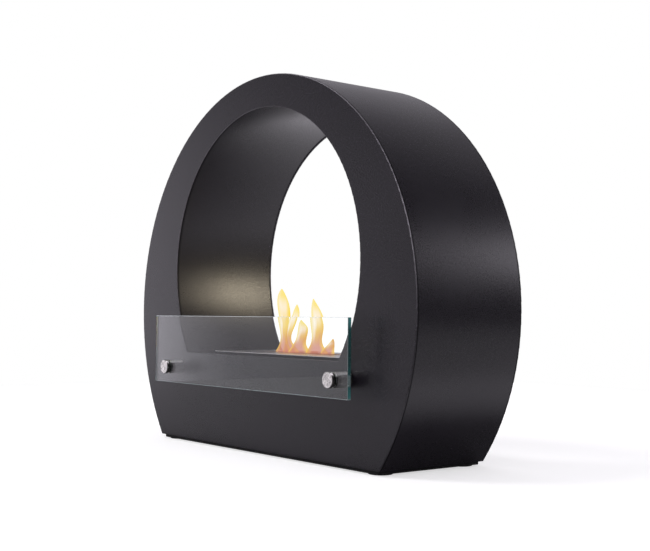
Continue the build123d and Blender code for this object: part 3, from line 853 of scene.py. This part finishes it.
# Each flame: its distance back, and from its foot to its tip the height over the burner's top, the middle and
# the half width, all in mm. The feet spread until they meet.
FLAMES = (
    ("tall_left", 13, (
        (-1, -49, 18.4), (2, -48.8, 15.6), (6, -48.6, 12), (11, -48.6, 8.8), (16, -48.6, 6.9),
        (22, -48.8, 6.3), (30.2, -49.3, 7.8), (38, -49.9, 9.8), (47.2, -50.6, 11.6), (58.5, -53.2, 12.3),
        (66, -55.2, 11.8), (72, -57, 10.2), (78, -58.6, 7.6), (83, -59, 4), (86.3, -58.6, 0.9),
    )),
    ("second", 15.5, (
        (-1, -35.6, 18), (2, -36.2, 15.6), (5.5, -37.4, 12.6), (9.5, -39.6, 9.4), (14, -41.8, 6.8),
        (19, -42.6, 5.6), (24.6, -41.3, 5.6), (30.3, -38.6, 6.4), (36, -35.5, 7.3), (41.7, -32.7, 7.8),
        (47.3, -29.9, 7.4), (52.9, -28.2, 6.5), (58.5, -27.2, 4.9), (62, -26.9, 2.6), (64.8, -26.8, 0.7),
    )),
    ("middle", 11.5, (
        (-1, -11.6, 24), (2, -11.8, 20.6), (5.2, -11.8, 17.4), (9.7, -11.4, 13.4), (14.1, -9.8, 10.8),
        (19.7, -7.3, 9.8), (25.3, -5.1, 9.9), (30.8, -3.8, 10), (35.3, -4.2, 8.8), (38.6, -6.2, 6.2),
        (41.9, -8, 3), (44.3, -8.4, 0.8),
    )),
    ("tall_right", 14, (
        (-1, 23.4, 24), (2.7, 23, 20), (6.2, 22.8, 16.2), (10.5, 22.6, 12.3), (15, 22.7, 10.2),
        (20.3, 22.9, 9.4), (25.8, 23.6, 10.4), (33, 23.9, 12), (40, 22.9, 12.4), (47.6, 20.5, 11.2),
        (53, 18.7, 10), (58.5, 16.3, 8), (64, 14, 5.4), (69, 12, 2.5), (72.2, 11.2, 0.7),
    )),
    ("small_right", 12.5, (
        (-1, 47.2, 14.4), (2.1, 47.9, 12.5), (4.8, 49.2, 11.1), (8.1, 51.6, 9), (11.4, 54.4, 6.9),
        (15, 56.8, 4.8), (18, 58.2, 2.7), (20.4, 58.8, 0.7),
    )),
)
# Direction across a flame, from +X towards +Y, in which its rims lie
RIM_TURN = math.radians(20.0)
# Heights over the burner's top between which the foot and the amber over it fade out
FOOT_FADE, AMBER_FADE = (7 * MM, 26 * MM), (14 * MM, 40 * MM)
# Heights between which a flame, and its rim at the foot, come in
FLAME_START, BRINK_START = (-1 * MM, 2 * MM), (-1 * MM, 3 * MM)
# How much the rim, the warm side and the amber add to what a flame covers, and the most that it covers
COVER_RIM, COVER_WARM, COVER_AMBER, COVER_MOST = 0.40, 0.56, 0.30, 0.86
# How much the foot covers, and how much its rim adds
COVER_FOOT, COVER_BRINK = 0.60, 0.22


def flame_shell(name, rings):
    """A closed smooth shell through rings, each with a middle, a half width and a half depth."""
    centre, wide, deep = rings[0]
    deselect()
    bpy.ops.mesh.primitive_circle_add(vertices=12, radius=1.0, fill_type="NGON", location=centre)
    piece = bpy.context.object
    piece.name = piece.data.name = name
    apply_place()
    bpy.ops.object.mode_set(mode="EDIT")
    bpy.ops.mesh.select_all(action="SELECT")
    bpy.ops.transform.resize(value=(wide, deep, 1), center_override=centre)
    for place, half, other in rings[1:]:
        bpy.ops.mesh.extrude_region_move(TRANSFORM_OT_translate={"value": place - centre})
        bpy.ops.transform.resize(value=(half / wide, other / deep, 1), center_override=place)
        centre, wide, deep = place, half, other
    bpy.ops.mesh.select_all(action="SELECT")
    bpy.ops.mesh.normals_make_consistent(inside=False)
    settle(piece)
    modifier = piece.modifiers.new("Subsurf", "SUBSURF")
    modifier.levels = modifier.render_levels = 2
    bpy.ops.object.modifier_apply(modifier=modifier.name)
    bpy.ops.object.shade_smooth()
    return piece


def mark_flame(piece, rings):
    """Write where each vertex lies in its flame: edge (0 inside to 1 at the rim), lean (-1 left to 1 right)
    and rise (0 at the foot to 1 at the tip)."""
    levels = [ring[0].z for ring in rings]
    values = {"edge": [], "lean": [], "rise": []}
    for vertex in piece.data.vertices:
        here = min(max(vertex.co.z, levels[0]), levels[-1])
        upper = max(1, next((i for i, level in enumerate(levels) if level >= here), len(levels) - 1))
        below, above = rings[upper - 1], rings[upper]
        share = (here - levels[upper - 1]) / (levels[upper] - levels[upper - 1])
        middle = below[0].lerp(above[0], share)
        lean = (vertex.co.x - middle.x) / (below[1] + (above[1] - below[1]) * share)
        deep = (vertex.co.y - middle.y) / (below[2] + (above[2] - below[2]) * share)
        edge = abs(lean * math.cos(RIM_TURN) + deep * math.sin(RIM_TURN))
        values["edge"].append(min(1.0, edge))
        values["lean"].append(min(1.0, max(-1.0, lean)))
        values["rise"].append((here - levels[0]) / (levels[-1] - levels[0]))
    for name, numbers in values.items():
        piece.data.attributes.new(name, "FLOAT", "POINT").data.foreach_set("value", numbers)


def flame_gas(settings):
    """Burning gas: clear and pale inside, yellow at the rims and tips, deeper yellow on the right-hand side,
    amber below it, and a pink foot with a yellow rim."""
    gas = Finish("flame_gas")
    edge, lean, rise = (gas.attribute(name) for name in ("edge", "lean", "rise"))
    height = gas.minus(gas.split(gas.place)[2], FIRE_TOP)
    flicker = gas.noise(75.0, place=gas.move(scale=(1.0, 1.0, 0.35)))

    def waver(value, amount):
        """The value, moved up and down by the flicker."""
        return gas.plus(value, gas.vary(flicker, -amount, amount))

    level = waver(height, 5 * MM)
    foot = gas.times(gas.ease(level, *FOOT_FADE, 1.0, 0.0), gas.ease(rise, 0.25, 0.6, 1.0, 0.0))
    rim = gas.ease(waver(edge, 0.1), 0.50, 0.92)
    tip = gas.times(gas.ease(rise, 0.66, 0.92), gas.spread(lean, -1.0, 0.3, 0.35, 1.0))
    outer = gas.most(rim, tip)
    side = gas.ease(waver(lean, 0.35), -0.15, 0.5)
    warm = gas.times(side, gas.ease(rise, 0.42, 0.86, 1.0, 0.12))
    wide = gas.most(warm, gas.ease(waver(lean, 0.3), -0.9, 0.1, 0.0, 0.9))
    low = gas.times(gas.ease(level, *AMBER_FADE, 1.0, 0.0), wide)
    body = gas.blend(outer, settings.core, settings.rim)
    body = gas.blend(warm, body, settings.warm)
    body = gas.blend(low, body, settings.amber)
    brink = gas.times(rim, gas.ease(height, *BRINK_START, 0.5, 1.0))
    root = gas.blend(brink, settings.stem, settings.stem_rim)
    solid = gas.plus(gas.times(outer, COVER_RIM), gas.times(warm, COVER_WARM), gas.times(low, COVER_AMBER))
    solid = gas.plus(solid, settings.density)
    based = gas.plus(gas.times(brink, COVER_BRINK), COVER_FOOT)
    cover = gas.mix(foot, gas.math("MINIMUM", solid, COVER_MOST), based)
    return gas.set(
        base_color=(0, 0, 0), specular_ior_level=0.0, roughness=1.0,
        emission_color=gas.blend(foot, body, root), emission_strength=1.0,
        alpha=gas.math("MULTIPLY", cover, gas.spread(height, *FLAME_START, 0.2, 1.0), clamp=True),
    )


class FIREPLACE_OT_flames(bpy.types.Operator):
    """Model the flames over the slot, with feet that run together"""

    bl_idname = "fireplace.flames"
    bl_label = "Light the Flames"

    def execute(self, context):
        settings = context.scene.fireplace_flames
        gas = flame_gas(settings)
        for name, depth, rows in FLAMES:
            rings = [
                (Vector((x * MM, depth * MM, FIRE_TOP + z * MM)), half * MM, half * settings.thickness * MM)
                for z, x, half in rows
            ]
            flame = flame_shell(f"flame_{name}", rings)
            mark_flame(flame, rings)
            flame.data.materials.append(gas.material)
            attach(flame, "burner")
            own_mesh(flame)
        return {"FINISHED"}


# ---- stage

# Soft panels in what the object mirrors: name, azimuth from +Y towards +X and elevation of the middle, half
# width and softness of its ends, half height and softness of its long sides (all in degrees), and strength
STUDIO_PANELS = (
    ("broad_back_left", -37.0, 24.0, 43.0, 14.0, 29.0, 14.0, 0.46),
    ("strip_back_right", 19.0, 16.4, 18.3, 3.0, 5.0, 7.4, 5.0),
    ("window_left", -96.5, 0.0, 23.5, 4.0, 11.0, 8.0, 1.05),
    ("front_left_wall", -118.0, 2.0, 58.0, 14.0, 12.0, 10.0, 0.46),
    ("card_left", -94.0, 38.0, 14.0, 5.0, 12.0, 5.0, 2.5),
    ("box_over_front", 158.0, 50.0, 16.0, 5.0, 19.0, 5.0, 7.5),
)
# Warm lamp behind the opening, whose sheen lies on its left wall: place and what it is aimed at, in mm
WALL_LAMP = ((157.0, 296.0, 334.0), (-204.0, 44.0, 210.0))
KEY_DISTANCE, SENSOR_WIDTH, RIGHT_ANGLE = 3.0, 36.0, math.pi / 2
# Mirrored floor: distances from the body's right and back over which its light comes in, distances from the
# middle over which it goes out again, and the painted shadow strip's reach in front of the body and its depth
LIT_RIGHT, LIT_BEHIND = (10 * MM, 110 * MM), (60 * MM, 380 * MM)
LIT_UNTIL, STRIP_REACH, STRIP_TONE = (360 * MM, 500 * MM), 54 * MM, 0.65


def towards(azimuth, elevation):
    """Unit vector by azimuth, from +Y towards +X, and elevation."""
    flat = math.cos(elevation)
    return Vector((math.sin(azimuth) * flat, math.cos(azimuth) * flat, math.sin(elevation)))


def place_in_scene(name, data):
    """A new object of the scene with some data."""
    thing = bpy.data.objects.new(name, data)
    bpy.context.scene.collection.objects.link(thing)
    return thing


def add_floor(settings):
    """A pale floor. It looks white and keeps the object's shadow. In mirrored views its light is added to the
    right of the body and behind it, and a painted shadow darkens it close beside the body."""
    deselect()
    bpy.ops.mesh.primitive_plane_add(size=2 * settings.floor_half, location=(0, 0, 0))
    floor = bpy.context.object
    floor.name = floor.data.name = "stage_floor"
    apply_place()
    paper = Finish("pale_paper")
    path = paper.add("LightPath").outputs
    through_glass = path["Is Transmission Ray"]
    glossy = paper.times(path["Is Glossy Ray"], paper.minus(1.0, through_glass))
    across, back, _ = paper.split(paper.place)
    lit = paper.most(
        paper.spread(across, *(BODY_HIGH.x + reach for reach in LIT_RIGHT)),
        paper.spread(back, *(BODY_HIGH.y + reach for reach in LIT_BEHIND)),
    )
    # Painted shadow on the floor close to the body, seen only in mirrored views
    beside = paper.spread(back, BODY_LOW.y - STRIP_REACH, BODY_LOW.y, 0.0, STRIP_TONE)
    shade = paper.times(glossy, paper.times(beside, paper.spread(lit, 0.0, 0.3, 1.0, 0.0)))
    fleck = paper.noise(40.0, detail=3.0)
    pale = paper.blend(fleck, toned(settings.floor_colour, 0.97), settings.floor_colour)
    paper.set(base_color=paper.scaled(pale, paper.minus(1.0, shade)), roughness=0.9, specular_ior_level=0.1)
    seen = paper.most(
        paper.times(path["Is Camera Ray"], settings.floor_white),
        paper.times(through_glass, settings.backdrop_through - 1 + settings.floor_white),
    )
    direct = paper.math("LESS_THAN", paper.plus(path["Glossy Depth"], path["Diffuse Depth"]), 0.5)
    mirrored = paper.times(
        glossy, lit, settings.floor_mirrored, paper.spread(across, *LIT_UNTIL, 1.0, 0.0)
    )
    glow = paper.add("Emission", {
        "Color": paper.blend(glossy, (1, 1, 1), settings.studio_tint),
        "Strength": paper.plus(paper.times(seen, direct), mirrored),
    })
    both = paper.add("AddShader", {0: paper.shader.outputs[0], 1: glow.outputs[0]})
    paper.put(both.outputs[0], paper.output.inputs["Surface"])
    floor.data.materials.append(paper.material)


def add_world(scene, settings):
    """White behind the object, even light from all round, and soft panels in what the object mirrors."""
    world = bpy.data.worlds.new("soft_studio")
    scene.world = world
    world.use_nodes = True
    studio = Nodes(world.node_tree)
    way = studio.add("TexCoord").outputs["Generated"]
    level = settings.studio_dark
    for _, azimuth, elevation, half_width, side_soft, half_height, end_soft, strength in STUDIO_PANELS:
        azimuth, elevation = math.radians(azimuth), math.radians(elevation)
        ahead = studio.vector("DOT_PRODUCT", way, towards(azimuth, elevation))
        aside = studio.vector("DOT_PRODUCT", way, towards(azimuth + RIGHT_ANGLE, 0.0))
        above = studio.vector("DOT_PRODUCT", way, towards(azimuth, elevation + RIGHT_ANGLE))
        share = strength
        for offset, half, soft in (
            (studio.math("ARCTAN2", aside, ahead), half_width, side_soft),
            (studio.math("ARCSINE", above), half_height, end_soft),
        ):
            inner, outer = math.radians(max(0.0, half - soft)), math.radians(half + soft)
            share = studio.times(studio.ease(studio.size(offset), inner, outer, 1.0, 0.0), share)
        level = studio.plus(share, level)
    path = studio.add("LightPath").outputs
    through_glass = path["Is Transmission Ray"]
    bounces = studio.plus(path["Glossy Depth"], path["Diffuse Depth"])
    bounced = studio.math("GREATER_THAN", bounces, 0.5)
    seen = studio.times(studio.most(path["Is Camera Ray"], through_glass), studio.minus(1.0, bounced))
    mirrored = studio.math("GREATER_THAN", path["Glossy Depth"], 0.5)
    mirrored = studio.times(mirrored, studio.minus(1.0, path["Is Diffuse Ray"]))
    lighting = studio.mix(mirrored, settings.ambient, level)
    white = studio.mix(through_glass, 1.0, settings.backdrop_through)
    background = studio.add("Background", {
        "Color": studio.blend(seen, settings.studio_tint, (1, 1, 1)),
        "Strength": studio.mix(seen, lighting, white),
    })
    studio.add("OutputWorld", {"Surface": background.outputs[0]})


def add_lamps(settings):
    """One soft sun at the front left, and a small warm lamp behind the opening."""
    sun = bpy.data.lights.new("key_light", "SUN")
    sun.energy, sun.angle = settings.key_strength, settings.key_softness
    key = place_in_scene("key_light", sun)
    key.location = towards(settings.key_azimuth, settings.key_elevation) * KEY_DISTANCE
    key.rotation_euler = key.location.to_track_quat("Z", "Y").to_euler()
    key.visible_glossy = False
    place, aim = (Vector(point) * MM for point in WALL_LAMP)
    card = bpy.data.lights.new("wall_lamp", "AREA")
    card.energy, card.color = settings.wall_power, settings.wall_colour
    card.shape = "RECTANGLE"
    card.size, card.size_y = settings.wall_size
    card.spread = settings.wall_spread
    lamp = place_in_scene("wall_lamp", card)
    lamp.location = place
    lamp.rotation_euler = (place - aim).to_track_quat("Z", "Y").to_euler()
    lamp.visible_camera = lamp.visible_transmission = False


def add_camera(scene, settings):
    """The camera at the photograph's place, turned by yaw, pitch and roll."""
    yaw, roll = settings.yaw, settings.roll
    ahead = towards(-yaw, settings.pitch)
    level = Vector((math.cos(yaw), math.sin(yaw), 0.0))
    upright = level.cross(ahead)
    right = math.cos(roll) * level + math.sin(roll) * upright
    up = math.cos(roll) * upright - math.sin(roll) * level
    lens = bpy.data.cameras.new("photo_camera")
    lens.lens = settings.lens
    lens.sensor_width = SENSOR_WIDTH
    camera = place_in_scene("photo_camera", lens)
    turn = Matrix((right, up, -ahead)).transposed().to_4x4()
    camera.matrix_world = Matrix.Translation(settings.place) @ turn
    scene.camera = camera


class FIREPLACE_OT_stage(bpy.types.Operator):
    """Set up the pale floor, the soft studio light and the camera"""

    bl_idname = "fireplace.stage"
    bl_label = "Set the Stage"

    def execute(self, context):
        settings = context.scene.fireplace_stage
        add_floor(settings)
        add_world(context.scene, settings)
        add_lamps(settings)
        add_camera(context.scene, settings)
        context.scene.view_settings.view_transform = "Standard"
        return {"FINISHED"}


# ---- panel and registration


class FIREPLACE_PT_build(bpy.types.Panel):
    """Sidebar panel that lists the steps and their settings"""

    bl_idname = "FIREPLACE_PT_build"
    bl_label = "Bioethanol Fireplace"
    bl_space_type = "VIEW_3D"
    bl_region_type = "UI"
    bl_category = "Fireplace"

    def draw(self, context):
        for name, group, steps in STEPS:
            box = self.layout.box()
            for key in group.__annotations__:
                box.prop(getattr(context.scene, name), key)
            for step in steps:
                box.operator(step.bl_idname)


# Name of each group of settings in the scene, the group, and the steps that are listed with it
STEPS = (
    ("fireplace_coat", FireplaceCoatSettings, (FIREPLACE_OT_body, FIREPLACE_OT_base)),
    ("fireplace_glass", FireplaceGlassSettings, (FIREPLACE_OT_screen,)),
    (
        "fireplace_steel", FireplaceSteelSettings,
        (FIREPLACE_OT_standoffs, FIREPLACE_OT_fixings, FIREPLACE_OT_burner),
    ),
    ("fireplace_fibre", FireplaceFibreSettings, (FIREPLACE_OT_fibre,)),
    ("fireplace_flames", FireplaceFlameSettings, (FIREPLACE_OT_flames,)),
    ("fireplace_stage", FireplaceStageSettings, (FIREPLACE_OT_stage,)),
)
GROUPS = {name: group for name, group, _ in STEPS}
OPERATORS = [step for *_, steps in STEPS for step in steps]
CLASSES = (*GROUPS.values(), *OPERATORS, FIREPLACE_PT_build)


def register():
    for each in CLASSES:
        bpy.utils.register_class(each)
    for name, group in GROUPS.items():
        setattr(bpy.types.Scene, name, PointerProperty(type=group))


def unregister():
    for name in GROUPS:
        delattr(bpy.types.Scene, name)
    for each in reversed(CLASSES):
        bpy.utils.unregister_class(each)


def main():
    """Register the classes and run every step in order."""
    register()
    for step in OPERATORS:
        group, operator = step.bl_idname.split(".")
        getattr(getattr(bpy.ops, group), operator)()


if __name__ == "__main__":
    main()
